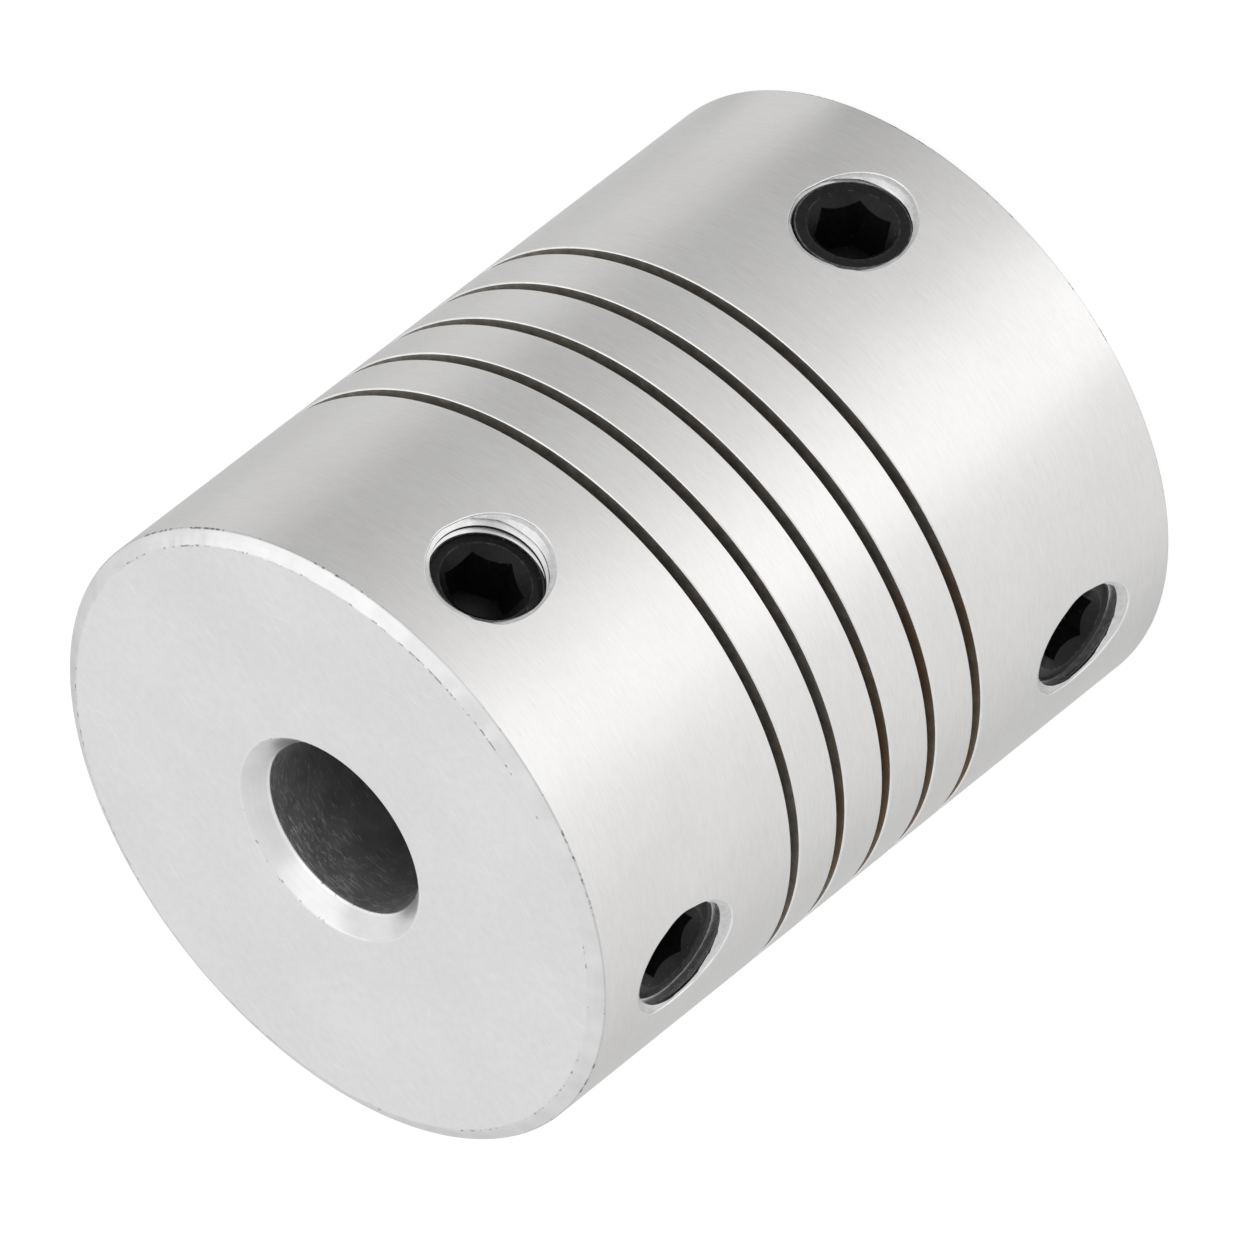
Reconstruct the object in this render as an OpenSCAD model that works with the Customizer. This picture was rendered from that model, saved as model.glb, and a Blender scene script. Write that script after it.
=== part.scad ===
// Flexible shaft coupling: one turned aluminium body with a helical slit, and four set screws.
// Millimetres. The shaft axis is +Z, the body stands on its lower end face at z = 0,
// and +X runs through the first screw of each hub. Angles are degrees, seen from above.

/* [Body] */
// Outside diameter of the body
body_d = 25; // [22:0.5:32]
// Length between the two end faces
body_l = 31; // [29:0.5:45]
// Edge break at each end, measured across the end face
rim_break_w = 0.65; // [0.2:0.05:1]
// Edge break at each end, measured down the side
rim_break_h = 0.35; // [0.1:0.05:0.8]

/* [Shaft bore] */
// Diameter of the bore that runs through both hubs
bore_d = 7; // [5:0.25:9]
// Bore chamfer at each mouth, measured across the end face
bore_chamfer_w = 0.65; // [0.3:0.05:1]
// Bore chamfer at each mouth, measured down the bore
bore_chamfer_h = 0.8; // [0.3:0.05:1.2]

/* [Helical slit] */
// Width of the saw cut, measured along the shaft axis
slit_w = 0.45; // [0.3:0.05:0.8]
// Rise of the slit in one turn
slit_pitch = 2.45; // [1.8:0.05:2.6]
// Turns that the slit makes on the outside
slit_turns = 5; // [3:0.25:5.25]
// Angle at which the slit's lower end comes out on the outside
slit_start = 156; // [0:1:359]
// Diameter of the slitting saw, which sets how the slit runs out at its ends
saw_d = 30; // [20:1:60]
// How far the saw reaches past the bore wall
saw_reach = 0.5; // [0.2:0.1:1.5]

/* [Screw holes] */
// Diameter of each tapped hole at the thread's crests
tap_d = 4.2; // [3.2:0.1:4.6]
// Diameter of the countersink at each hole's mouth
hole_mouth_d = 5; // [4.8:0.1:6]
// Depth of that countersink
hole_mouth_h = 0.45; // [0.2:0.05:0.8]
// Distance of the upper hub's holes from the upper end face
upper_inset = 4.6; // [4:0.1:5.5]
// Angle between the upper hub's two holes
upper_spread = 79; // [75:1:150]
// Distance of the lower hub's holes from the lower end face
lower_inset = 4.9; // [4:0.1:5.5]
// Angle between the lower hub's two holes
lower_spread = 88; // [75:1:150]

/* [Set screws] */
// Length of each set screw
screw_l = 6; // [4:0.5:6.5]
// Radial gap between a screw's body and the crests of its thread
screw_gap = 0.03; // [0.01:0.01:0.1]
// Chamfer at both ends of a screw
screw_chamfer = 0.25; // [0.1:0.05:0.5]
// Hexagon socket, measured across its flats
socket_af = 2.5; // [2:0.1:2.6]
// Depth of the hexagon socket
socket_h = 2.5; // [1.5:0.1:2.8]
// Diameter of the cone that leads into the socket
socket_mouth_d = 3.3; // [3.1:0.1:3.4]
// Diameter of the cup in the point
cup_d = 2.4; // [1.6:0.1:2.8]
// Depth of the cup in the point
cup_h = 0.6; // [0.3:0.1:1]
// How deep the first upper screw sits below the outside
upper_a_recess = 0.7; // [0.1:0.05:1.5]
// How deep the second upper screw sits below the outside
upper_b_recess = 0.95; // [0.1:0.05:1.5]
// How deep the first lower screw sits below the outside
lower_a_recess = 0.6; // [0.1:0.05:1.5]
// How deep the second lower screw sits below the outside
lower_b_recess = 0.3; // [0.1:0.05:1.5]
// How far the first upper screw's socket is turned
upper_a_turn = 11; // [0:1:59]
// How far the second upper screw's socket is turned
upper_b_turn = 0; // [0:1:59]
// How far the first lower screw's socket is turned
lower_a_turn = 11; // [0:1:59]
// How far the second lower screw's socket is turned
lower_b_turn = 30; // [0:1:59]

/* [Hidden] */
$fn = 96;
// What a cutting tool runs past the surface that it cuts
over = 1;
body_r = body_d / 2;
bore_r = bore_d / 2;
tap_r = tap_d / 2;
screw_r = tap_r - screw_gap;
upper_z = body_l - upper_inset;
lower_z = lower_inset;
// Facets round the turned body, and steps of the slit in one turn
body_facets = 192;
slit_steps = 48;
// Radius that the saw's rim reaches, and the distance of its centre from the shaft axis
saw_in = bore_r - saw_reach;
saw_r = saw_d / 2;
saw_c = saw_in + saw_r;

// Angle, seen from the shaft axis, from the saw's centre to where its rim crosses radius r
function saw_angle(r) = acos((saw_c * saw_c + r * r - saw_r * saw_r) / (2 * saw_c * r));

// Radius of the saw's rim at angle a from its centre
function saw_rim(a) = saw_c * cos(a) - sqrt(pow(saw_r, 2) - pow(saw_c * sin(a), 2));

// The slit shows on the outside for slit_span degrees, and the cutter runs slit_extra past each end
slit_span = 360 * slit_turns;
slit_extra = saw_angle(body_r + over / 2) - saw_angle(body_r);
slit_count = ceil((slit_span + 2 * slit_extra) / 360 * slit_steps);
slit_step = (slit_span + 2 * slit_extra) / slit_count;

// Angle along the slit at station i, which is 0 at its lower end and slit_span at its upper end
function slit_along(i) = i * slit_step - slit_extra;

// Height of the slit's middle there: the whole slit is centred on the body
function slit_z(t) = body_l / 2 + slit_pitch * (t / 360 - slit_turns / 2);

// Inner radius of the cut there: past the bore wall, and along the saw's rim near both ends
function slit_in(t) = let (a = saw_angle(body_r) - min(t, slit_span - t)) a > 0 ? saw_rim(a) : saw_in;

// The four corners of the cut at station i, inside below, outside below, outside above, inside above
function slit_corners(i) =
    let (t = slit_along(i))
    [for (k = [[slit_in(t), -1], [body_r + over, -1], [body_r + over, 1], [slit_in(t), 1]])
        [k[0] * cos(slit_start + t), k[0] * sin(slit_start + t), slit_z(t) + k[1] * slit_w / 2]];

// The saw cut: a thin ribbon that winds about the shaft axis as a right-handed helix
module slit_cut() {
    last = 4 * slit_count;
    corners = [for (i = [0:slit_count]) each slit_corners(i)];
    sides = [for (i = [0:slit_count - 1], k = [0:3])
        let (a = 4 * i + k, b = 4 * i + (k + 1) % 4)
        each [[a, b, b + 4], [a, b + 4, a + 4]]];
    ends = [[0, 2, 1], [0, 3, 2], [last, last + 1, last + 2], [last, last + 2, last + 3]];
    polyhedron(points = corners, faces = concat(sides, ends), convexity = 12);
}

// Half of the turned section, from the bore to the outside
module body_section() {
    polygon([
        [bore_r, bore_chamfer_h],
        [bore_r + bore_chamfer_w, 0],
        [body_r - rim_break_w, 0],
        [body_r, rim_break_h],
        [body_r, body_l - rim_break_h],
        [body_r - rim_break_w, body_l],
        [bore_r + bore_chamfer_w, body_l],
        [bore_r, body_l - bore_chamfer_h]
    ]);
}

// Puts its children on a radial line at height z and angle a, with +Z pointing outwards
module on_radius(z, a) {
    translate([0, 0, z]) rotate([0, 0, a]) rotate([0, 90, 0]) children();
}

// A tapped hole from the bore to the outside, countersunk at its mouth
module screw_hole(z, a) {
    on_radius(z, a) {
        cylinder(r = tap_r, h = body_r + over);
        translate([0, 0, body_r - hole_mouth_h])
            cylinder(
                r1 = tap_r,
                r2 = tap_r + (hole_mouth_d / 2 - tap_r) * (hole_mouth_h + over) / hole_mouth_h,
                h = hole_mouth_h + over
            );
    }
}

// Half of a set screw's section: its outer end is at height 0, and its cup point lies below
module screw_section() {
    polygon([
        [0, 0],
        [screw_r - screw_chamfer, 0],
        [screw_r, -screw_chamfer],
        [screw_r, screw_chamfer - screw_l],
        [screw_r - screw_chamfer, -screw_l],
        [cup_d / 2, -screw_l],
        [0, cup_h - screw_l]
    ]);
}

// The hexagon socket and the cone that leads into it
module socket_cut() {
    cone_h = socket_mouth_d / 2;
    translate([0, 0, -socket_h]) cylinder(r = socket_af / 2 / cos(30), h = socket_h + over, $fn = 6);
    translate([0, 0, -cone_h]) cylinder(r1 = 0, r2 = cone_h + over, h = cone_h + over);
}

// A set screw in the hole at height z and angle a, sunk below the outside, with its socket turned
module set_screw(z, a, recess, turn) {
    on_radius(z, a) translate([0, 0, body_r - recess]) rotate([0, 0, turn]) difference() {
        rotate_extrude() screw_section();
        socket_cut();
    }
}

module body() {
    color("gainsboro") difference() {
        rotate_extrude($fn = body_facets) body_section();
        screw_hole(upper_z, 0);
        screw_hole(upper_z, upper_spread);
        screw_hole(lower_z, 0);
        screw_hole(lower_z, lower_spread);
        slit_cut();
    }
}

module upper_screw_a() {
    color("black") set_screw(upper_z, 0, upper_a_recess, upper_a_turn);
}

module upper_screw_b() {
    color("black") set_screw(upper_z, upper_spread, upper_b_recess, upper_b_turn);
}

module lower_screw_a() {
    color("black") set_screw(lower_z, 0, lower_a_recess, lower_a_turn);
}

module lower_screw_b() {
    color("black") set_screw(lower_z, lower_spread, lower_b_recess, lower_b_turn);
}

body();
upper_screw_a();
upper_screw_b();
lower_screw_a();
lower_screw_b();
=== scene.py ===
import math
import bpy
import mathutils
import numpy as np
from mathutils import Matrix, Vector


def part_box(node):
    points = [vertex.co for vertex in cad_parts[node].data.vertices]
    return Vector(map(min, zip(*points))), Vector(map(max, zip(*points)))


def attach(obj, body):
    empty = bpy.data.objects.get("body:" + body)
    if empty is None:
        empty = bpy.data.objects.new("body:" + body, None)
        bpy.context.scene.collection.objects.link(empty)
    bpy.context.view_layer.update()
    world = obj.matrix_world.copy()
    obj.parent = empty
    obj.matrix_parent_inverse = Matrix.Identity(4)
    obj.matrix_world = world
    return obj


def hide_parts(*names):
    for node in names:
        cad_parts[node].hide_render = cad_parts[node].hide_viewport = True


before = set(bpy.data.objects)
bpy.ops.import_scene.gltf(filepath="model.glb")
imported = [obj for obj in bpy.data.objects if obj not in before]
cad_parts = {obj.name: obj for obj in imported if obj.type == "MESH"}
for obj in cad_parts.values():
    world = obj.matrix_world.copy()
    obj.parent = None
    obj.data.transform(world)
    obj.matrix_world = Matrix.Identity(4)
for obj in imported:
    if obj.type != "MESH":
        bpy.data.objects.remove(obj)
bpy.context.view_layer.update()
print("stage: frame loaded")

mm = 0.001
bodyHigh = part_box("body")[1]
outerRadius = bodyHigh.x / mm
bodyLength = bodyHigh.z / mm

# how finely the meshes are worked out
cornerRows = 4              # rows on a rounded corner
windowRows = 13             # rows of the window round a hole
faceRows = 6                # rows across an end face
outerBandRows = 3           # rows of the helical band between two turns of the slit, outside
boreBandRows = 2            # and in the bore
ringSpread = 1.3            # how fast the rings round a hole widen away from it
edgeTries = 40              # how often a hole's edge is put in again
weldCell = 1e-4             # points in the same cell of this size, in millimetres, become one
cellShift = 3.14e-5         # keeps round numbers off the borders of those cells

# what a user would change on the turned body, in millimetres and degrees
body = {
    "boreRadius": 3.5,
    "rimBreakWide": 0.55,       # across the end face
    "rimBreakDeep": 0.3,        # down the side
    "boreChamferWide": 0.65,
    "boreChamferDeep": 0.8,
    "cornerEase": 0.05,         # how far each turned corner is rounded
    "rimRagged": 0.02,          # how far the rim's inner edge wanders
    "raggedWaves": (20, 150),   # fewest and most waves of that wandering in a turn
    "raggedSeeds": (12, 11),    # picks its shape at the lower end and at the upper one
    "raggedFade": 0.15,         # how far it reaches to both sides
    "raggedClear": 0.3,         # it stays this far from the outside
    "slitWide": 0.45,
    "slitPitch": 2.45,
    "slitTurns": 5,
    "slitStart": 156,           # where the slit's lower end comes out
    "sawRadius": 15.0,
    "sawReach": 0.5,
    "slitLip": 0.055,           # the slit's lips are rounded this much
    "lipRunOut": 3,             # degrees over which a lip fades at a slit's end
    "sharpAngle": 40,           # an edge that folds more than this stays sharp
}

# the set screws: lengths in millimetres, and each socket's turn as seen from outside
screw = {
    "length": 6.0,
    "threadGap": 0.04,          # play between its thread and the hole's
    "faceRadius": 2.07,         # outer edge of its face
    "mouthRadius": 1.66,        # outer edge of the cone that leads into the socket
    "socketAcross": 2.5,
    "socketDeep": 2.5,
    "drillDeep": 0.4,           # the drill's cone below the socket
    "cupRadius": 1.2,
    "cupDeep": 0.6,
    "tipRadius": 1.75,
    "ease": 0.05,               # how far its edges are rounded
    "columnsAFlat": 16,
    "faceWear": (1.0, 0.05, 0.08),      # wear and a painted highlight on its face's edge: how strong, how wide and how deep
    "mouthWear": (0.6, 0.04, 0.06),     # and on the edge of the socket's mouth
    "turns": {"upper_screw_a": 11, "upper_screw_b": 0, "lower_screw_a": 11, "lower_screw_b": 30},
}


# where a screw sits, from its solid: axis angle, height and its outer face's distance from the shaft axis
def screwPlace(name):
    low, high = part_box(name)
    centre = (low + high) / 2 / mm
    return {
        "angle": round(math.degrees(math.atan2(centre.y, centre.x))),
        "height": centre.z,
        "face": math.hypot(centre.x, centre.y) + screw["length"] / 2,
    }


screwNames = sorted(screw["turns"])
places = {name: screwPlace(name) for name in screwNames}
print("stage: holes at angles", [place["angle"] for place in places.values()])


# points on a cylinder: (r cos a, r sin a, z) for radius r, angle a in degrees and height z
def onCylinder(radius, angle, height):
    radius, angle, height = np.broadcast_arrays(radius, np.radians(angle), height)
    return np.stack([radius * np.cos(angle), radius * np.sin(angle), height], -1)


# a corner at c between a and b, rounded over the distance r:
# p(t) = (1 - t)^2 start + 2 t (1 - t) c + t^2 end, with start and end at r from c toward a and b
def easedCorner(a, c, b, r):
    a, c, b = (np.array(p, float) for p in (a, c, b))
    start = c + (a - c) / np.linalg.norm(a - c) * r
    end = c + (b - c) / np.linalg.norm(b - c) * r
    t = np.linspace(0, 1, cornerRows)[:, None]
    return (1 - t) ** 2 * start + 2 * t * (1 - t) * c + t ** 2 * end


# smooth wandering round a full turn, with a spread of 1:
# w(a) = sum of s cos(k a + phase) over whole waves k, divided by sqrt(sum of s^2 / 2)
def wander(angle, lowest, highest, seed):
    random = np.random.default_rng(seed)
    waves = np.arange(lowest, highest)
    phases = random.uniform(0, 2 * np.pi, len(waves))
    sizes = random.normal(0, 1, len(waves))
    total = (sizes * np.cos(np.radians(np.asarray(angle)[..., None]) * waves + phases)).sum(-1)
    return total / np.sqrt((sizes ** 2).sum() / 2)


class Skin:
    # collects patches of triangles, then welds them into one mesh
    def __init__(self):
        self.points, self.faces, self.kinds, self.count = [], [], [], 0

    def add(self, points, faces, kind):
        self.points.append(points.reshape(-1, 3))
        self.faces.append(faces + self.count)
        self.kinds.append(np.full(len(faces), kind))
        self.count += points.size // 3

    # a grid of rows and columns of points: each cell is two triangles
    def grid(self, points, kind, flip=False, keep=None):
        rows, columns = points.shape[:2]
        i, j = np.meshgrid(np.arange(rows - 1), np.arange(columns - 1), indexing="ij")
        if keep is not None:
            i, j = i[keep], j[keep]
        a = (i * columns + j).ravel()
        b, c, d = a + 1, a + columns + 1, a + columns
        faces = np.concatenate([np.stack([a, b, c], 1), np.stack([a, c, d], 1)])
        self.add(points, faces[:, ::-1] if flip else faces, kind)

    # a closed strip between an inner and an outer loop, merged by their bearings about the centre
    def strip(self, inner, innerBearing, outer, outerBearing, kind, flip=False):
        inside, outside = np.argsort(innerBearing), np.argsort(outerBearing)
        n, m = len(inside), len(outside)
        bearings = np.concatenate([innerBearing[inside], outerBearing[outside]])
        order = np.argsort(bearings, kind="stable")
        isInner = order < n
        i = (np.cumsum(isInner) - 1) % n
        j = (np.cumsum(~isInner) - 1) % m
        before = np.where(isInner, inside[(i - 1) % n], inside[i])
        faces = np.where(
            isInner[:, None],
            np.stack([before, n + outside[j], inside[i]], 1),
            np.stack([before, n + outside[(j - 1) % m], n + outside[j]], 1),
        )
        self.add(np.concatenate([inner, outer]), faces[:, ::-1] if flip else faces, kind)

    # equal points become one, and triangles that have lost their area go
    def weld(self):
        points = np.concatenate(self.points)
        faces = np.concatenate(self.faces)
        kinds = np.concatenate(self.kinds)
        cell = np.round((points + cellShift) / weldCell).astype(np.int64)
        _, first, index = np.unique(cell, axis=0, return_index=True, return_inverse=True)
        faces = index.reshape(-1)[faces]
        whole = (faces[:, 0] != faces[:, 1]) & (faces[:, 1] != faces[:, 2]) & (faces[:, 2] != faces[:, 0])
        return points[first], faces[whole], kinds[whole]


# a mesh object from welded points in millimetres, with sharp edges where finishes meet or faces fold
def makePiece(name, skin, materials):
    points, faces, kinds = skin.weld()
    mesh = bpy.data.meshes.new(name)
    mesh.vertices.add(len(points))
    mesh.vertices.foreach_set("co", (points * mm).astype(np.float32).ravel())
    mesh.loops.add(faces.size)
    mesh.loops.foreach_set("vertex_index", faces.astype(np.int32).ravel())
    mesh.polygons.add(len(faces))
    mesh.polygons.foreach_set("loop_start", np.arange(0, faces.size, 3, dtype=np.int32))
    mesh.polygons.foreach_set("material_index", kinds.astype(np.int32))
    mesh.polygons.foreach_set("use_smooth", np.ones(len(faces), bool))
    mesh.update(calc_edges=True)
    corners = points[faces]
    normals = np.cross(corners[:, 1] - corners[:, 0], corners[:, 2] - corners[:, 0])
    normals /= np.maximum(np.linalg.norm(normals, axis=1), 1e-12)[:, None]
    edgeOf = np.zeros(faces.size, np.int32)
    mesh.loops.foreach_get("edge_index", edgeOf)
    order = np.argsort(edgeOf, kind="stable")
    edges, starts, uses = np.unique(edgeOf[order], return_index=True, return_counts=True)
    if (uses != 2).any():
        print("stage:", name, "has", int((uses != 2).sum()), "edges that are not shared by two faces")
    pair = uses == 2
    one, two = order[starts[pair]] // 3, order[starts[pair] + 1] // 3
    folds = (normals[one] * normals[two]).sum(1) < math.cos(math.radians(body["sharpAngle"]))
    meets = kinds[one] != kinds[two]
    sharp = np.zeros(len(mesh.edges), bool)
    sharp[edges[pair]] = folds | meets
    mesh.attributes.new("sharp_edge", "BOOLEAN", "EDGE").data.foreach_set("value", sharp)
    for material in materials:
        mesh.materials.append(material)
    piece = bpy.data.objects.new(name, mesh)
    bpy.context.scene.collection.objects.link(piece)
    print("stage:", name, "has", len(faces), "triangles")
    return piece


# the body's finishes by number, in the order of its materials
turned, lip, sawn, endFace, rim, mouth, bored, threaded = range(8)

# where the end face meets the edge break and the bore's chamfer
rimEdge = outerRadius - body["rimBreakWide"]
chamferEdge = body["boreRadius"] + body["boreChamferWide"]

slitSpan = 360 * body["slitTurns"]
slitAngles = np.arange(0, slitSpan + 1)
sawIn = body["boreRadius"] - body["sawReach"]
sawCentre = sawIn + body["sawRadius"]


# height of the slit's middle at angle t along it, a helix centred on the body:
# z(t) = length / 2 + pitch (t / 360 - turns / 2)
def slitHeight(t):
    return bodyLength / 2 + body["slitPitch"] * (t / 360 - body["slitTurns"] / 2)


# radius of the cut's floor: the saw's rim as it leaves the work at both ends, and the bore's wall between:
# r(a) = c cos a - sqrt(R^2 - c^2 sin^2 a), for the angle a from the saw's centre, at c from the axis
def slitFloor(t):
    crossing = (sawCentre ** 2 + outerRadius ** 2 - body["sawRadius"] ** 2) / (2 * sawCentre * outerRadius)
    a = np.degrees(np.arccos(crossing)) - np.minimum(t, slitSpan - t)
    inWork = np.radians(np.maximum(a, 0))
    reach = np.sqrt(np.maximum(body["sawRadius"] ** 2 - (sawCentre * np.sin(inWork)) ** 2, 0))
    return np.clip(sawCentre * np.cos(inWork) - reach, body["boreRadius"], outerRadius)


# size of the slit's rounded lips, which fade where it runs out:
# lip(t) = lip min(1, distance to the nearer end / run-out)
def slitLip(t):
    return body["slitLip"] * np.clip(np.minimum(t, slitSpan - t) / body["lipRunOut"], 0, 1)


floorLine = slitFloor(slitAngles)
# the stations between which the cut is open to the bore
openFrom = int(np.argmax(floorLine <= body["boreRadius"] + 1e-9))
openTo = slitSpan - openFrom

# the tapped holes and their threads
tapped = {
    "crestRadius": 2.1,
    "threadDeep": 0.25,
    "threadPitch": 0.5,
    "threadTurn": 0.12,         # where the thread starts, as a share of a turn
    "crestShare": 0.25,         # how much of the pitch the flat crest takes, and the root
    "rootShare": 0.125,
    "mouthRadius": 2.48,
    "mouthDeep": 0.23,
    "rimEase": 0.055,           # the mouth's edge is rounded this much
    "columns": 80,
    "fineDepth": 1.2,           # the mouth's stretch, in fine rows
    "plainFrom": 5.6,           # the thread fades between these radii from the shaft axis
    "plainTo": 4.8,
    "windowTurn": 16,           # half width of the window round each hole's mouth, in degrees
    "windowHigh": 3.5,
    "boreWindowTurn": 39,       # the same on the bore
    "boreWindowHigh": 2.7,
    "rings": 5,                 # rings between a mouth and its window
}


# radius of the thread at distance x from the shaft axis and bearing f about the hole:
# r = crest + deep root fade, where root is 1 in the root, 0 on the crest and straight on the flanks between
def threadRise(x, f):
    phase = (x / tapped["threadPitch"] - f / (2 * np.pi) + tapped["threadTurn"]) % 1
    flank = (1 - tapped["crestShare"] - tapped["rootShare"]) / 2
    root = np.clip(((1 - tapped["crestShare"]) / 2 - np.abs(phase - 0.5)) / flank, 0, 1)
    fade = np.clip((x - tapped["plainTo"]) / (tapped["plainFrom"] - tapped["plainTo"]), 0, 1)
    return tapped["crestRadius"] + tapped["threadDeep"] * root * fade


# shares of the pitch at which the thread has a row: even ones near the mouth, its corners further in
fineShares = np.arange(16) / 16
halfCrest, halfRoot = tapped["crestShare"] / 2, tapped["rootShare"] / 2
cornerShares = np.array([halfCrest, 0.5 - halfRoot, 0.5 + halfRoot, 1 - halfCrest])


# rows that follow the thread round, held between low and high:
# x = (k + share + f / 2 pi - start) pitch, for whole turns k from the outside inwards
def threadRows(f, low, high, shares):
    turns = f / (2 * np.pi) - tapped["threadTurn"]
    first = math.floor(np.min(low) / tapped["threadPitch"] - turns.max()) - 1
    last = math.ceil(np.max(high) / tapped["threadPitch"] - turns.min()) + 2
    phases = (np.arange(first, last)[:, None] + shares).ravel()[::-1]
    return np.clip((phases[:, None] + turns) * tapped["threadPitch"], low, high)


# radius of the hole's wall: the thread, or the countersink's cone r = mouth + slope (x - outside) if wider
def holeWall(x, f):
    slope = (tapped["mouthRadius"] - tapped["crestRadius"]) / tapped["mouthDeep"]
    cone = tapped["mouthRadius"] + slope * (x - outerRadius)
    return np.maximum(threadRise(x, f), cone)


# where the hole's wall comes out through a cylinder of radius R:
# r = wall(x) with x = sqrt(R^2 - (r cos f)^2), put in again until it settles
def holeEdge(radius, f):
    reach = np.full(len(f), tapped["crestRadius"])
    for _ in range(edgeTries):
        x = np.sqrt(radius ** 2 - (reach * np.cos(f)) ** 2)
        reach = 0.5 * reach + 0.5 * holeWall(x, f)
    return reach, np.sqrt(radius ** 2 - (reach * np.cos(f)) ** 2)


# the mouth's rounded edge, as radius and distance from the shaft axis along a curve as in easedCorner,
# which starts down the hole's wall and ends on the cylinder, so its last row takes its height from there
def holeRound(radius, f, ease):
    reach, x = holeEdge(radius, f)
    outside = reach + ease
    t = np.linspace(0, 1, cornerRows)[:, None]
    one, two, three = (1 - t) ** 2, 2 * t * (1 - t), t ** 2
    endX = np.sqrt(radius ** 2 - (outside * np.cos(f)) ** 2)
    return one * reach + two * reach + three * outside, one * (x - ease) + two * x + three * endX


# from a hole's own axes (sideways s, up u, outwards o) to the part's:
# (o cos a - s sin a, o sin a + s cos a, height + u), for the hole's angle a
def fromHole(place, sideways, up, outwards):
    a = math.radians(place["angle"])
    x = outwards * math.cos(a) - sideways * math.sin(a)
    y = outwards * math.sin(a) + sideways * math.cos(a)
    return np.stack([x, y, place["height"] + up], -1)


bearing = np.arange(tapped["columns"]) * 2 * np.pi / tapped["columns"]


# the cylinder between a hole's edge and the window round it, worked out on the unrolled wall:
# loops p = edge + (border - edge) (k / (rings + 1))^spread, then a strip to the window's own border
def holeWindow(skin, place, radius, columns, rows, rings, kind, flip):
    if rings:
        reach, x = (row[-1] for row in holeRound(radius, bearing, tapped["rimEase"]))
    else:
        reach, x = holeEdge(radius, bearing)
    edge = np.stack([radius * np.arctan2(reach * np.cos(bearing), x), reach * np.sin(bearing)], 1)
    across = radius * np.radians(columns - place["angle"])
    up = rows - place["height"]
    toward = edge / np.linalg.norm(edge, axis=1)[:, None]
    with np.errstate(divide="ignore"):
        scale = np.minimum(
            np.where(toward[:, 0] > 0, across[-1], -across[0]) / np.abs(toward[:, 0]),
            np.where(toward[:, 1] > 0, up[-1], -up[0]) / np.abs(toward[:, 1]),
        )
    share = (np.arange(rings + 1) / (rings + 1))[:, None, None] ** ringSpread
    loops = edge + (toward * scale[:, None] - edge) * share
    closed = np.concatenate([loops, loops[:, :1]], 1)
    angle = place["angle"] + np.degrees(closed[..., 0] / radius)
    points = onCylinder(radius, angle, place["height"] + closed[..., 1])
    points[0, :-1] = fromHole(place, reach * np.cos(bearing), reach * np.sin(bearing), x)
    points[0, -1] = points[0, 0]
    skin.grid(points, kind, flip=not flip)
    border = np.concatenate([
        np.stack([across, np.full(len(across), up[0])], 1),
        np.stack([np.full(len(up) - 2, across[-1]), up[1:-1]], 1),
        np.stack([across[::-1], np.full(len(across), up[-1])], 1),
        np.stack([np.full(len(up) - 2, across[0]), up[-2:0:-1]], 1),
    ])
    last = loops[-1]
    borderAngle = place["angle"] + np.degrees(border[:, 0] / radius)
    skin.strip(
        points[-1, :-1], np.arctan2(last[:, 1], last[:, 0]),
        onCylinder(radius, borderAngle, place["height"] + border[:, 1]),
        np.arctan2(border[:, 1], border[:, 0]), kind, flip)


# a hub's plain wall on one cylinder, a grid over angle and height, with a window left out round each hole
def hubWall(skin, radius, low, high, holes, halfTurn, halfHigh, rings, kind, flip):
    start = body["slitStart"]
    angles = np.arange(start, start + 361)
    middle = holes[0]["height"]
    inner = np.linspace(middle - halfHigh, middle + halfHigh, windowRows)
    plainRows = 2
    below = np.linspace(low, inner[0], plainRows + 1)[:-1]
    above = np.linspace(inner[-1], high, plainRows + 1)[1:]
    rows = np.concatenate([below, inner, above])
    keep = np.ones((len(rows) - 1, 360), bool)
    for place in holes:
        left = (place["angle"] - halfTurn - start) % 360
        cut = np.arange(left, left + 2 * halfTurn) % 360
        keep[plainRows:plainRows + windowRows - 1, cut] = False
        columns = np.arange(place["angle"] - halfTurn, place["angle"] + halfTurn + 1)
        holeWindow(skin, place, radius, columns, inner, rings, kind, flip)
    skin.grid(onCylinder(radius, angles[None, :], rows[:, None]), kind, flip, keep)


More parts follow.
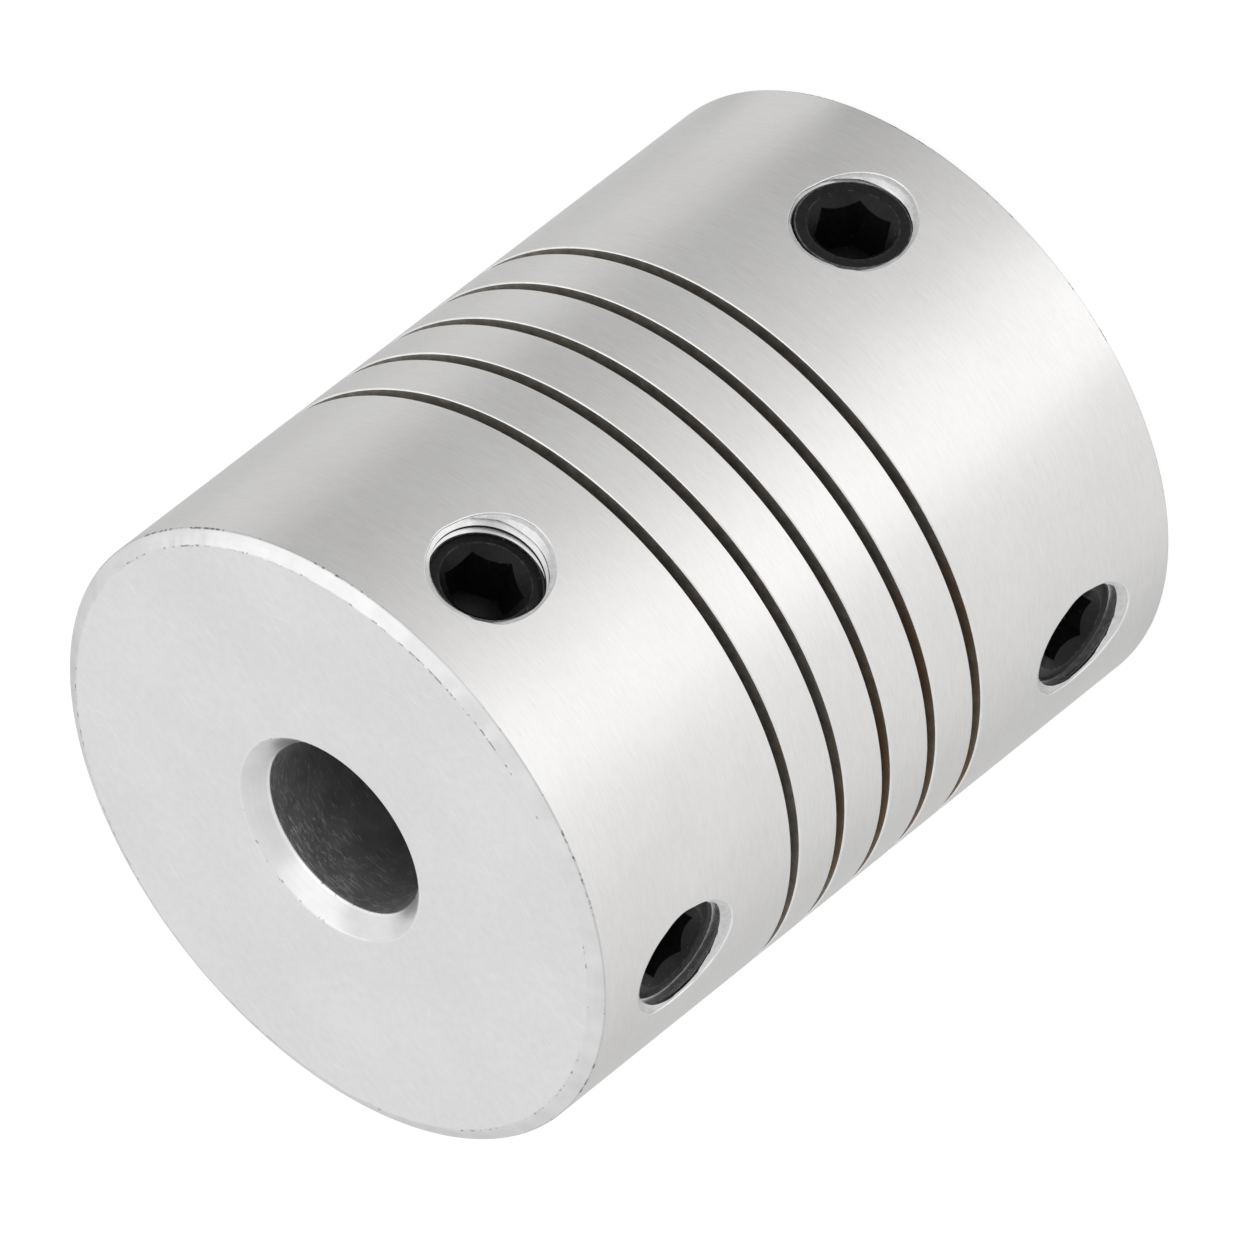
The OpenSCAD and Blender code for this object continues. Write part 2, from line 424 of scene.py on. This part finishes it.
# both hubs' walls and the helical band between them, on one cylinder, for a slit open from first to last:
# each grid has z = low(t) + (high(t) - low(t)) share, between two lips, or a lip and a hub's plain wall
def slitWall(skin, radius, first, last, low, high, lipOf, halfTurn, halfHigh, rings, bandRows, kind, flip):
    half = body["slitWide"] / 2
    start = body["slitStart"]

    def lowerLip(t):
        return slitHeight(t) - half - lipOf(t)

    def upperLip(t):
        return slitHeight(t) + half + lipOf(t)

    bandStep = np.linspace(0, 1, bandRows + 1)[:, None]
    # the hubs' plain walls end at the height of the slit's own ends
    wallLow, wallHigh = lowerLip(first), upperLip(last)
    lowerHoles = [places[n] for n in screwNames if n.startswith("lower")]
    upperHoles = [places[n] for n in screwNames if n.startswith("upper")]
    # a hub's columns start at the slit's own end, so that the wedge beside it starts there too
    hubWall(skin, radius, low, wallLow, lowerHoles, halfTurn, halfHigh, rings, kind, flip)
    hubWall(skin, radius, wallHigh, high, upperHoles, halfTurn, halfHigh, rings, kind, flip)
    # lower wedge: it grows from nothing to a whole pitch in one turn
    t = np.arange(first, first + 361)[None, :]
    notch = (upperLip(first) - wallLow) / (lowerLip(first + 360) - wallLow)
    share = np.concatenate([[[0]], notch + (1 - notch) * bandStep])
    skin.grid(onCylinder(radius, start + t, wallLow + (lowerLip(t) - wallLow) * share), kind, flip)
    # the band between one turn of the slit and the next
    t = np.arange(first, last - 360 + 1)[None, :]
    band = upperLip(t) + (lowerLip(t + 360) - upperLip(t)) * bandStep
    skin.grid(onCylinder(radius, start + t, band), kind, flip)
    # upper wedge: it shrinks from a whole pitch to nothing
    t = np.arange(last - 360, last + 1)[None, :]
    notch = (lowerLip(last) - upperLip(last - 360)) / (wallHigh - upperLip(last - 360))
    share = np.concatenate([notch * bandStep, [[1]]])
    skin.grid(onCylinder(radius, start + t, upperLip(t) + (wallHigh - upperLip(t)) * share), kind, flip)


# the two sides and the floor of the saw cut, with a rounded lip on the outside:
# r = outside - lip (1 - cos g) and z = middle +- (half + lip (1 - sin g)), for g from 0 to 90 degrees
def slitSides(skin):
    half = body["slitWide"] / 2
    t = slitAngles[None, :]
    angle = body["slitStart"] + t
    lipSize = slitLip(t)
    turn = np.radians(np.array([0, 30, 60, 90]))[:, None]
    lipRadius = outerRadius - lipSize * (1 - np.cos(turn))
    lipHeight = half + lipSize * (1 - np.sin(turn))
    depth = np.array([0, 0.35, 1])[:, None]
    sideRadius = (outerRadius - lipSize) + (floorLine[None, :] - (outerRadius - lipSize)) * depth
    for side in (-1, 1):
        skin.grid(onCylinder(lipRadius, angle, slitHeight(t) + side * lipHeight), lip, flip=side > 0)
        skin.grid(onCylinder(sideRadius, angle, slitHeight(t) + side * half), sawn, flip=side > 0)
    # the saw stands nearly square to the surface where it leaves the work, so each end has a narrow wall
    for end in (0, slitSpan):
        across = slitHeight(end) + np.array([-half, half])[None, :]
        wallRadius = outerRadius + (floorLine[end] - outerRadius) * depth
        skin.grid(onCylinder(wallRadius, body["slitStart"] + end, across), sawn, flip=end == 0)
    for part in (slice(0, openFrom + 1), slice(openTo, slitSpan + 1)):
        t = slitAngles[None, part]
        across = np.array([-half, half])[:, None]
        skin.grid(onCylinder(floorLine[None, part], body["slitStart"] + t, slitHeight(t) + across), sawn)


# the turned ends: edge break, end face and bore chamfer, carried round as rings, where the rim's inner edge
# wanders a little: r + ragged exp(-((r - edge) / fade)^2), which leaves the outside as it is
def turnedEnd(skin, atTop):
    corners = [
        (outerRadius, 2), (outerRadius, body["rimBreakDeep"]), (rimEdge, 0), (chamferEdge, 0),
        (body["boreRadius"], body["boreChamferDeep"]), (body["boreRadius"], 2),
    ]
    eased = [easedCorner(*corners[k - 1:k + 2], body["cornerEase"]) for k in range(1, 5)]
    faceStart, faceEnd = eased[1][-1], eased[2][0]
    runs = [
        (np.concatenate([eased[0], eased[1]]), rim),
        (faceStart + (faceEnd - faceStart) * np.linspace(0, 1, faceRows)[:, None], endFace),
        (np.concatenate([eased[2], eased[3]]), mouth),
    ]
    angles = body["slitStart"] + np.arange(361)
    ragged = body["rimRagged"] * wander(angles, *body["raggedWaves"], body["raggedSeeds"][atTop])
    for profile, kind in runs:
        radius = profile[:, 0][:, None] + np.zeros(361)
        near = np.exp(-((radius - rimEdge) / body["raggedFade"]) ** 2)
        radius = radius + ragged[None, :] * near * (radius < outerRadius - body["raggedClear"])
        height = profile[:, 1][:, None]
        points = onCylinder(radius, angles[None, :], bodyLength - height if atTop else height)
        skin.grid(points, kind, flip=not atTop)


# the walls of the tapped holes, from the mouth to the bore:
# (r cos f, r sin f, x) on the hole's own axes, with r from holeWall(x, f)
def tappedHole(skin, place):
    f = np.append(bearing, 2 * np.pi)
    edgeReach, edgeX = holeRound(outerRadius, f, tapped["rimEase"])
    boreReach, boreX = holeEdge(body["boreRadius"], f)
    fineTo = outerRadius - tapped["fineDepth"]
    x = np.concatenate([
        threadRows(f, fineTo, edgeX[0], fineShares),
        threadRows(f, tapped["plainTo"], fineTo, cornerShares),
        tapped["plainTo"] + (boreX - tapped["plainTo"]) * np.linspace(0, 1, 3)[:, None],
    ])
    radius = np.where(x >= edgeX[0], edgeReach[0], holeWall(x, f))
    radius[-1] = boreReach
    for rowRadius, rowX, kind, flip in ((radius, x, threaded, False), (edgeReach, edgeX, lip, True)):
        skin.grid(fromHole(place, rowRadius * np.cos(f), rowRadius * np.sin(f), rowX), kind, flip)


# the eased ends of the turned section, where the plain walls start
easedRim = body["rimBreakDeep"] + body["cornerEase"]
easedBore = body["boreChamferDeep"] + body["cornerEase"]
bodySkin = Skin()
slitWall(
    bodySkin, outerRadius, 0, slitSpan, easedRim, bodyLength - easedRim, slitLip,
    tapped["windowTurn"], tapped["windowHigh"], tapped["rings"], outerBandRows, turned, False)
# in the bore the slit's edges are plain, so their lips are 0
slitWall(
    bodySkin, body["boreRadius"], openFrom, openTo, easedBore, bodyLength - easedBore, lambda t: 0 * t,
    tapped["boreWindowTurn"], tapped["boreWindowHigh"], 0, boreBandRows, bored, True)
slitSides(bodySkin)
for atTop in (False, True):
    turnedEnd(bodySkin, atTop)
for place in places.values():
    tappedHole(bodySkin, place)
print("stage: body worked out")


# wear and a painted highlight on a screw's two outer edges, held at 1:
# sum of strength exp(-((r - edge) / wide)^2 - ((x - face) / deep)^2)
def edgeWearAndHighlight(reach, x, face):
    total = 0
    for edge in ("face", "mouth"):
        strength, wide, deep = screw[edge + "Wear"]
        away = ((reach - screw[edge + "Radius"]) / wide) ** 2 + ((x - face) / deep) ** 2
        total = total + strength * np.exp(-away)
    return np.clip(total, 0, 1)


# a set screw as rows of rings, from its socket's bottom over its outer end and thread to its cup point:
# the socket's wall has r = half / cos((f mod 60) - 30) in degrees, with f counted from one of its corners
def makeScrew(name, place, turn, material):
    corner = math.radians(turn - 90)
    f = corner + np.arange(6 * screw["columnsAFlat"] + 1) * math.pi / (3 * screw["columnsAFlat"])
    face, tip = place["face"], place["face"] - screw["length"]
    mouthRadius, faceRadius, tipRadius = screw["mouthRadius"], screw["faceRadius"], screw["tipRadius"]
    cupRadius, cupTop, ease = screw["cupRadius"], tip + screw["cupDeep"], screw["ease"]
    half = screw["socketAcross"] / 2
    hexagon = half / np.cos((f - corner) % (math.pi / 3) - math.pi / 6)
    bottom = face - screw["socketDeep"]
    coneFoot = face - (mouthRadius - hexagon)
    same = np.ones(len(f))      # carries one value all round a ring

    def rounded(before, at, after):
        return [(radius * same, x * same) for radius, x in easedCorner(before, at, after, ease)]

    # the drill's cone stays a little within the socket's flats
    rows = [
        (0 * same, (bottom - screw["drillDeep"]) * same),
        (0.5 * half * same, (bottom - 0.55 * screw["drillDeep"]) * same),
        (0.96 * half * same, bottom * same),
        (hexagon, bottom * same),
    ]
    rows += [(hexagon, bottom + (coneFoot - bottom) * s) for s in np.linspace(0.15, 1, 10)]
    rows += [(hexagon + (mouthRadius - ease - hexagon) * s, coneFoot + (face - ease - coneFoot) * s)
             for s in np.linspace(0.1, 1, 6)]
    rows += rounded((mouthRadius - 1, face - 1), (mouthRadius, face), (2, face))
    rows += rounded((mouthRadius, face), (faceRadius, face), (faceRadius + 1, face - 1))
    # the thread fills the tapped hole's, less a little play, and a chamfer cuts it back at both ends
    wound = threadRows(f, tip + ease, face - ease, fineShares[::2])
    chamfer = np.minimum(faceRadius + face - wound, tipRadius + 0.9 * (wound - tip))
    rows += zip(np.minimum(threadRise(wound, f) - screw["threadGap"], chamfer), wound)
    rows += rounded((tipRadius + 1, tip + 1), (tipRadius, tip), (cupRadius, tip))
    rows += rounded((tipRadius, tip), (cupRadius, tip), (0, cupTop))
    rows += [(cupRadius * (1 - s) * same, (tip + screw["cupDeep"] * s) * same) for s in (0.35, 0.7, 1)]
    reach, x = (np.array(column) for column in zip(*rows))
    skin = Skin()
    skin.grid(fromHole(place, reach * np.cos(f), reach * np.sin(f), x), 0)
    piece = makePiece(name, skin, [material])
    # wear and the painted highlight go with the finished mesh, so they are worked out again from its points
    flat = np.empty(len(piece.data.vertices) * 3, np.float32)
    piece.data.vertices.foreach_get("co", flat)
    a = math.radians(place["angle"])
    spots = flat.reshape(-1, 3) / mm - [0, 0, place["height"]]
    outwards = spots[:, 0] * math.cos(a) + spots[:, 1] * math.sin(a)
    sideways = spots[:, 1] * math.cos(a) - spots[:, 0] * math.sin(a)
    wear = edgeWearAndHighlight(np.hypot(sideways, spots[:, 2]), outwards, face)
    piece.data.attributes.new("wear", "FLOAT", "POINT").data.foreach_set("value", wear.astype(np.float32))
    return piece


class Shade:
    # one socket in a material's nodes: the usual operators on it add Math nodes
    def __init__(self, tree, socket=None):
        self.tree, self.socket = tree, socket

    # any other node: its type, its settings, then the values or links of its sockets
    def make(self, kind, settings, sockets, output=0):
        node = self.tree.nodes.new("ShaderNode" + kind)
        for key, value in settings.items():
            if key == "stops":
                ramp = node.color_ramp.elements
                while len(ramp) < len(value):
                    ramp.new(0.5)
                for stop, (position, colour) in zip(ramp, value):
                    stop.position, stop.color = position, (*colour, 1)
            else:
                setattr(node, key, value)
        for key, value in sockets.items():
            if isinstance(value, Shade):
                self.tree.links.new(value.socket, node.inputs[key])
            else:
                node.inputs[key].default_value = value
        return Shade(self.tree, node.outputs[output])

    def maths(self, operation, *terms):
        return self.make("Math", {"operation": operation}, dict(enumerate(terms)))

    def __add__(self, other):
        return self.maths("ADD", self, other)

    def __sub__(self, other):
        return self.maths("SUBTRACT", self, other)

    def __mul__(self, other):
        return self.maths("MULTIPLY", self, other)

    def __truediv__(self, other):
        return self.maths("DIVIDE", self, other)

    def __rsub__(self, other):
        return self.maths("SUBTRACT", other, self)

    def __rtruediv__(self, other):
        return self.maths("DIVIDE", other, self)

    __radd__ = __add__
    __rmul__ = __mul__

    # 0 below low, 1 above high, and a straight rise in between
    def rise(self, low, high):
        return self.make("MapRange", {"clamp": True}, {"Value": self, "From Min": low, "From Max": high})

    # a vector stretched along each axis
    def stretched(self, x, y, z):
        return self.make("VectorMath", {"operation": "MULTIPLY"}, {0: self, 1: (x, y, z)})

    # a vector turned about its axes, in degrees
    def tilted(self, degrees):
        return self.make("Mapping", {}, {"Vector": self, "Rotation": [math.radians(d) for d in degrees]})

    # noise on a vector, roughly 0.3 to 0.7
    def noise(self, detail, scale=1.0):
        return self.make("TexNoise", {}, {"Vector": self, "Scale": scale, "Detail": detail})

    # between two colours, by this value
    def between(self, one, two):
        return self.make("Mix", {"data_type": "RGBA"}, {0: self, 6: one, 7: two}, 2)

    def bump(self, height, strength):
        return self.make("Bump", {}, {"Height": self, "Distance": height, "Strength": strength})


# a grey, or a tint of it, as a colour with alpha
def grey(level, warm=0.0):
    return (level * (1 + warm), level, level * (1 - warm), 1)


# a material from one function that gets object coordinates and returns the shader's sockets
def makeMaterial(name, sockets):
    material = bpy.data.materials.new(name)
    material.use_nodes = True
    tree = material.node_tree
    tree.nodes.clear()
    start = Shade(tree)
    place = start.make("TexCoord", {}, {}, "Object")
    surface = start.make("BsdfPrincipled", {}, sockets(place))
    output = tree.nodes.new("ShaderNodeOutputMaterial")
    tree.links.new(surface.socket, output.inputs["Surface"])
    return material


# 1 on a thin ring about the shaft axis, of the given radius and half width in millimetres, and 0 beside it
def ringBand(place, radius, half):
    x, y = (place.make("SeparateXYZ", {}, {0: place}, k) for k in (0, 1))
    away = place.maths("SQRT", x * x + y * y) / mm - radius
    return 1 - (place.maths("ABSOLUTE", away) / half).rise(0.4, 1)


# small dark nicks strung along a turned corner, denser in some stretches than in others
def nicks(place, radius, half, shift):
    dense = place.make("VectorMath", {"operation": "ADD"}, {0: place, 1: (shift, 0, 0)}).noise(1, 210)
    darkMarks = place.noise(3, 4600)
    return ringBand(place, radius, half) * (darkMarks + 0.9 * dense).rise(1.04, 1.14)


# the finishes: greys or colours from dark to light, and the least roughness
finishes = {
    "turned": {"dark": 0.8, "light": 0.875, "rough": 0.31},
    "face": {"dark": 0.83, "light": 0.885, "scratch": 0.97, "darkMarkGrey": 0.25, "rough": 0.42},
    "rim": {"dark": 0.79, "light": 0.885, "burrHighlight": 0.98, "darkMarkGrey": 0.18, "rough": 0.27},
    # the lips' grey is lifted above the turned wall's: a painted highlight along the edges
    "lip": {"dark": 0.87, "light": 0.98, "rough": 0.16},
    "sawn": {
        # greys set darker than the aluminium's: painted shade in the slit
        "dark": (0.47, 0.44, 0.4, 1),
        "light": (0.62, 0.59, 0.54, 1),
        "oil": (0.54, 0.42, 0.31, 1),
        "rough": 0.48,
    },
    # the bore's greys are set darker than the outside's: painted shade in the bore
    "bored": {"dark": 0.45, "light": 0.64, "scratch": 0.95, "rough": 0.4},
    "threaded": {"dark": 0.7, "light": 0.8, "rough": 0.22},
    "steel": {"dark": 0.005, "light": 0.012, "speck": 0.08, "rubbedAndHighlit": 0.26, "sheen": 0.2, "rough": 0.26},
}


# turned wall: short fine marks that run round it, under a faint cloudiness
def turnedSockets(place):
    look = finishes["turned"]
    marks = place.stretched(1100, 1100, 12000).noise(3)
    fine = place.stretched(2600, 2600, 24000).noise(2)
    broad = place.stretched(90, 90, 1500).noise(2)
    cloud = place.noise(3, 260)
    tone = marks * 0.35 + fine * 0.35 + broad * 0.05 + cloud * 0.25
    return {
        "Base Color": tone.rise(0.38, 0.62).between(grey(look["dark"], 0.012), grey(look["light"], 0.006)),
        "Metallic": 1.0,
        "Roughness": look["rough"] + 0.05 * marks.rise(0.3, 0.7) + 0.04 * cloud,
        "Normal": (marks * 0.5 + fine * 0.5).bump(0.00002, 0.25),
    }


# end face: a matt turned face with faint cloudiness, a few fine scratches, dark nicks, a thin darker line
# along its outer edge and a painted burr highlight at its inner edge
def faceSockets(place):
    look = finishes["face"]
    one = place.tilted((0, 0, 38)).stretched(500, 9000, 1).noise(2)
    two = place.tilted((0, 0, -14)).stretched(400, 8000, 1).noise(2)
    scratch = (one.rise(0.66, 0.72) + two.rise(0.67, 0.73)).rise(0, 1)
    grain = place.noise(4, 3000)
    cloud = place.noise(3, 220)
    tone = grain * 0.4 + cloud * 0.4 + one * 0.2
    plain = tone.rise(0.38, 0.62).between(grey(look["dark"], 0.001), grey(look["light"], -0.001))
    speck = place.noise(2, 5200).rise(0.7, 0.76)
    darkMarks = nicks(place, rimEdge, 0.035, 0.05) + nicks(place, chamferEdge, 0.05, 0.02)
    # a thin darker line along the face's outer edge
    darkMarks += 0.3 * ringBand(place, rimEdge, 0.04)
    # a bright line where the face meets the bore's chamfer, a painted highlight of a burr, in the
    # scratches' grey
    burrHighlight = ringBand(place, chamferEdge + 0.03, 0.06)
    light = (0.42 * scratch + 0.5 * speck + 0.8 * burrHighlight).rise(0, 1).between(plain, grey(look["scratch"]))
    return {
        "Base Color": (0.65 * darkMarks).rise(0, 1).between(light, grey(look["darkMarkGrey"])),
        "Metallic": 1.0,
        "Roughness": look["rough"] + 0.08 * cloud + 0.06 * grain,
        "Normal": (grain * 0.6 + one * 0.4).bump(0.00001, 0.25),
    }


# edge break and bore chamfer: bright cuts with turned rings, a few dark nicks, a thin darker line along the
# outer edge and a painted burr highlight at the bore's edge
def rimSockets(place):
    look = finishes["rim"]
    marks = place.stretched(400, 400, 14000).noise(3)
    worn = place.noise(3, 900)
    darkMarks = nicks(place, rimEdge, 0.045, 0.05) + nicks(place, outerRadius, 0.05, 0.09)
    darkMarks += nicks(place, chamferEdge, 0.05, 0.02) + nicks(place, body["boreRadius"], 0.08, 0.13)
    # a thin darker line along the outer edge
    darkMarks += 0.28 * ringBand(place, outerRadius, 0.05)
    tone = (marks * 0.25 + worn * 0.75).rise(0.35, 0.65).between(grey(look["dark"]), grey(look["light"]))
    # a bright line at the bore's edge: a painted highlight of a burr
    plain = (0.9 * ringBand(place, body["boreRadius"] + 0.03, 0.06)).between(tone, grey(look["burrHighlight"]))
    return {
        "Base Color": (0.75 * darkMarks).rise(0, 1).between(plain, grey(look["darkMarkGrey"], 0.02)),
        "Metallic": 1.0,
        "Roughness": look["rough"] + 0.12 * worn,
        "Normal": (marks * 0.2 + worn * 0.8).bump(0.00002, 0.3),
    }


# rounded lips of the slit and of the holes' mouths: burnished edges, their colour lifted into a painted
# highlight
def lipSockets(place):
    look = finishes["lip"]
    worn = place.noise(3, 1800)
    return {
        # a painted highlight: the burnished edges are coloured lighter than the wall
        "Base Color": worn.rise(0.35, 0.65).between(grey(look["dark"]), grey(look["light"])),
        "Metallic": 1.0,
        "Roughness": look["rough"] + 0.16 * worn,
        "Normal": worn.bump(0.00002, 0.3),
    }


# sawn walls: dull, their grey set darker than the aluminium's as a painted shade in the deep slit, with the
# saw's fine marks and brown cutting oil in places, mostly on the side toward +X
def sawnSockets(place):
    look = finishes["sawn"]
    marks = place.stretched(2500, 2500, 5000).noise(3)
    across = place.make("SeparateXYZ", {}, {0: place}, 0) / (outerRadius * mm)
    stain = (place.noise(2, 160) + 0.3 * across).rise(0.66, 0.84)
    plain = marks.rise(0.3, 0.7).between(look["dark"], look["light"])
    return {
        "Base Color": stain.between(plain, look["oil"]),
        "Metallic": 1.0,
        "Roughness": look["rough"] + 0.15 * marks,
        "Normal": marks.bump(0.00003, 0.3),
    }


# bored wall: a painted shade makes it darker than the outside and lighter toward the two mouths; short
# bright scratches near the mouths, where the shafts go in
def boredSockets(place):
    look = finishes["bored"]
    marks = place.noise(4, 1500)
    one = place.tilted((5, 3, 0)).stretched(1900, 1900, 16000).noise(2)
    two = place.tilted((-9, 6, 0)).stretched(2400, 2400, 15000).noise(2)
    middle = place.make("SeparateXYZ", {}, {0: place}, 2) / mm - bodyLength / 2
    near = place.maths("ABSOLUTE", middle).rise(9, 15)
    scratch = (one + 0.15 * near).rise(0.72, 0.76) + (two + 0.15 * near).rise(0.73, 0.77)
    speck = (place.noise(2, 6500) + 0.12 * near).rise(0.76, 0.8)
    # painted shade: the wall is darker in the middle of the bore and lighter toward the mouths
    plain = (marks * 0.6 + near * 0.4).rise(0.25, 0.75).between(grey(look["dark"]), grey(look["light"]))
    return {
        "Base Color": (0.7 * scratch + 0.6 * speck).rise(0, 1).between(plain, grey(look["scratch"])),
        "Metallic": 1.0,
        "Roughness": look["rough"] + 0.1 * marks,
        "Normal": (marks * 0.5 + scratch * 0.5).bump(0.00002, 0.3),
    }


# tapped thread: bright crests come from its shape, under a grainy cut surface
def threadSockets(place):
    look = finishes["threaded"]
    grain = place.noise(4, 3800)
    return {
        "Base Color": grain.rise(0.35, 0.65).between(grey(look["dark"]), grey(look["light"])),
        "Metallic": 1.0,
        "Roughness": look["rough"] + 0.08 * grain,
        "Normal": grain.bump(0.000005, 0.1),
    }


# black oxide on steel: near black, faintly speckled, lighter on its edges from rubbed wear and a painted
# highlight
def steelSockets(place):
    look = finishes["steel"]
    grain = place.noise(4, 5200)
    speck = place.noise(3, 7500).rise(0.68, 0.74)
    wear = place.make("Attribute", {"attribute_name": "wear"}, {}, "Fac")
    # lighter edges: rubbed wear together with a painted highlight
    rubbedAndHighlit = (wear * (0.2 + grain)).rise(0.3, 1.1)
    plain = grain.rise(0.3, 0.7).between(grey(look["dark"]), grey(look["light"]))
    return {
        "Base Color": rubbedAndHighlit.between(speck.between(plain, grey(look["speck"])), grey(look["rubbedAndHighlit"])),
        "Specular IOR Level": look["sheen"],
        "Roughness": look["rough"] + 0.14 * grain,
        "Normal": grain.bump(0.00002, 0.3),
    }


bodyFinishes = [
    makeMaterial("turnedAluminium", turnedSockets),
    makeMaterial("burnishedLipPaintedHighlight", lipSockets),
    makeMaterial("sawnSlit", sawnSockets),
    makeMaterial("facedEnd", faceSockets),
    makeMaterial("brightRim", rimSockets),
    makeMaterial("boreMouth", rimSockets),
    makeMaterial("boredWall", boredSockets),
    makeMaterial("tappedThread", threadSockets),
]
blackSteel = makeMaterial("blackOxideSteel", steelSockets)
print("stage: finishes made")

bodyPiece = makePiece("turned_body", bodySkin, bodyFinishes)
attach(bodyPiece, "root")
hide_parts("body")
for name in screwNames:
    piece = makeScrew("set_" + name, places[name], screw["turns"][name], blackSteel)
    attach(piece, "root")
    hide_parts(name)

# the camera: place, axes and lens fitted to the photograph, in millimetres
camera = {
    "place": (280.07503, 491.62192, 390.21181),
    "right": (0.75115728, 0.07258624, -0.6561204),
    "up": (-0.51572708, 0.68495124, -0.51465267),
    "back": (0.41205378, 0.72496416, 0.55194081),
    "lens": 551.56,
}
view = bpy.data.objects.new("camera", bpy.data.cameras.new("camera"))
view.data.lens = camera["lens"]
view.data.clip_start = 0.01
view.data.clip_end = 20
rows = np.column_stack([camera["right"], camera["up"], camera["back"], np.array(camera["place"]) * mm])
bpy.context.scene.collection.objects.link(view)
view.matrix_world = mathutils.Matrix([*rows.tolist(), [0, 0, 0, 1]])
bpy.context.scene.camera = view

# the studio: bearings are from the camera's own, counted the way the angle about the shaft axis grows
studio = {
    "cameraBearing": 60.4,
    "floorHalf": 3.0,
    "floorWhite": 0.85,         # how much of the floor's colour is plain white, the rest takes shadow
    "skyLow": 0.7,              # the sky's strength at the horizon and overhead
    "skyHigh": 0.83,
    # what gloss sees of the floor at each bearing round the object
    "floorTones": [
        (-180, 0.66), (-140, 0.61), (-120, 0.72), (-100, 0.81), (-60, 0.93), (-42, 1.02), (-28, 1.3),
        (-8, 1.26), (8, 1.08), (22, 0.86), (40, 0.72), (60, 0.58), (78, 0.48), (92, 0.45), (108, 0.73),
        (130, 0.74), (150, 0.56), (180, 0.66),
    ],
    "lamps": [
        # bearing, height above the floor in degrees, distance, width, height and power
        (35, 40, 0.5, 0.6, 0.35, 0.27),
        (112, 58, 0.5, 0.45, 0.4, 0.2),
        (112, 14, 0.5, 0.4, 0.2, 0.05),
    ],
}


# a light panel that looks at the middle of the object
def makeLamp(index, bearingTurn, elevation, distance, wide, high, power):
    lamp = bpy.data.lights.new("panel%d" % index, "AREA")
    lamp.shape = "RECTANGLE"
    lamp.size, lamp.size_y, lamp.energy = wide, high, power
    holder = bpy.data.objects.new(lamp.name, lamp)
    a, e = math.radians(bearingTurn + studio["cameraBearing"]), math.radians(elevation)
    away = mathutils.Vector((math.cos(a) * math.cos(e), math.sin(a) * math.cos(e), math.sin(e)))
    holder.location = away * distance + mathutils.Vector((0, 0, bodyLength * mm / 2))
    holder.rotation_euler = away.to_track_quat("Z", "Y").to_euler()
    holder.visible_camera = False
    bpy.context.scene.collection.objects.link(holder)


for index, lampValues in enumerate(studio["lamps"]):
    makeLamp(index, *lampValues)


# the world: white where the camera sees it, and a plain soft sky for the light
def makeWorld():
    world = bpy.data.worlds.new("studioWorld")
    bpy.context.scene.world = world
    world.use_nodes = True
    tree = world.node_tree
    tree.nodes.clear()
    start = Shade(tree)
    seen = start.make("LightPath", {}, {}, "Is Camera Ray")
    direction = start.make("TexCoord", {}, {}, "Generated")
    height = start.make("SeparateXYZ", {}, {0: direction}, 2).rise(0, 0.9)
    plain = studio["skyLow"] + (studio["skyHigh"] - studio["skyLow"]) * height
    strength = seen.maths("MAXIMUM", plain, seen)
    sky = start.make("Background", {}, {"Color": grey(1), "Strength": strength})
    output = tree.nodes.new("ShaderNodeOutputWorld")
    tree.links.new(sky.socket, output.inputs["Surface"])


# the floor: mostly plain white, with a share of matt white that takes the object's shadow
def makeFloor():
    half = studio["floorHalf"]
    mesh = bpy.data.meshes.new("floor")
    corners = [(-half, -half, 0), (half, -half, 0), (half, half, 0), (-half, half, 0)]
    mesh.from_pydata(corners, [], [(0, 1, 2, 3)])
    floor = bpy.data.objects.new("floor", mesh)
    bpy.context.scene.collection.objects.link(floor)
    material = bpy.data.materials.new("paleFloor")
    material.use_nodes = True
    tree = material.node_tree
    tree.nodes.clear()
    start = Shade(tree)
    place = start.make("TexCoord", {}, {}, "Object")
    parts = [start.make("SeparateXYZ", {}, {0: place}, k) for k in (0, 1)]
    # bearing from the far side of the camera's, as 0 to 1, with the camera's own bearing at one half
    turnedAway = math.radians(studio["cameraBearing"])
    along = parts[0] * math.cos(turnedAway) + parts[1] * math.sin(turnedAway)
    across = parts[1] * math.cos(turnedAway) - parts[0] * math.sin(turnedAway)
    # close to the object its side mirrors the floor at half the bearing, and far away at the whole of it
    far = along.maths("SQRT", along * along + across * across)
    opened = 1 - 0.5 * outerRadius * mm / far.maths("MAXIMUM", far, outerRadius * mm)
    share = (across.maths("ARCTAN2", across, along) / opened / (2 * math.pi) + 0.5).rise(0, 1)
    stops = [(turn / 360 + 0.5, (tone / 2,) * 3) for turn, tone in studio["floorTones"]]
    tones = start.make("ValToRGB", {"stops": stops}, {"Fac": share})
    toned = tones.make("VectorMath", {"operation": "MULTIPLY"}, {0: tones, 1: (2, 2, 2)})
    glossy = start.make("LightPath", {}, {}, "Is Glossy Ray")
    cameraRay = start.make("LightPath", {}, {}, "Is Camera Ray")
    clear = start.make("LightPath", {}, {}, "Is Transmission Ray")
    seen = (glossy + cameraRay + clear).rise(0, 1) * studio["floorWhite"]
    plain = glossy.between(grey(1.08), toned)
    white = start.make("Emission", {}, {"Color": plain, "Strength": 1.0})
    matt = start.make("BsdfDiffuse", {}, {"Color": grey(0.9)})
    both = start.make("MixShader", {}, {0: seen, 1: matt, 2: white})
    output = tree.nodes.new("ShaderNodeOutputMaterial")
    tree.links.new(both.socket, output.inputs["Surface"])
    mesh.materials.append(material)


makeWorld()
makeFloor()
bpy.context.scene.view_settings.view_transform = "Standard"
print("stage: studio set")
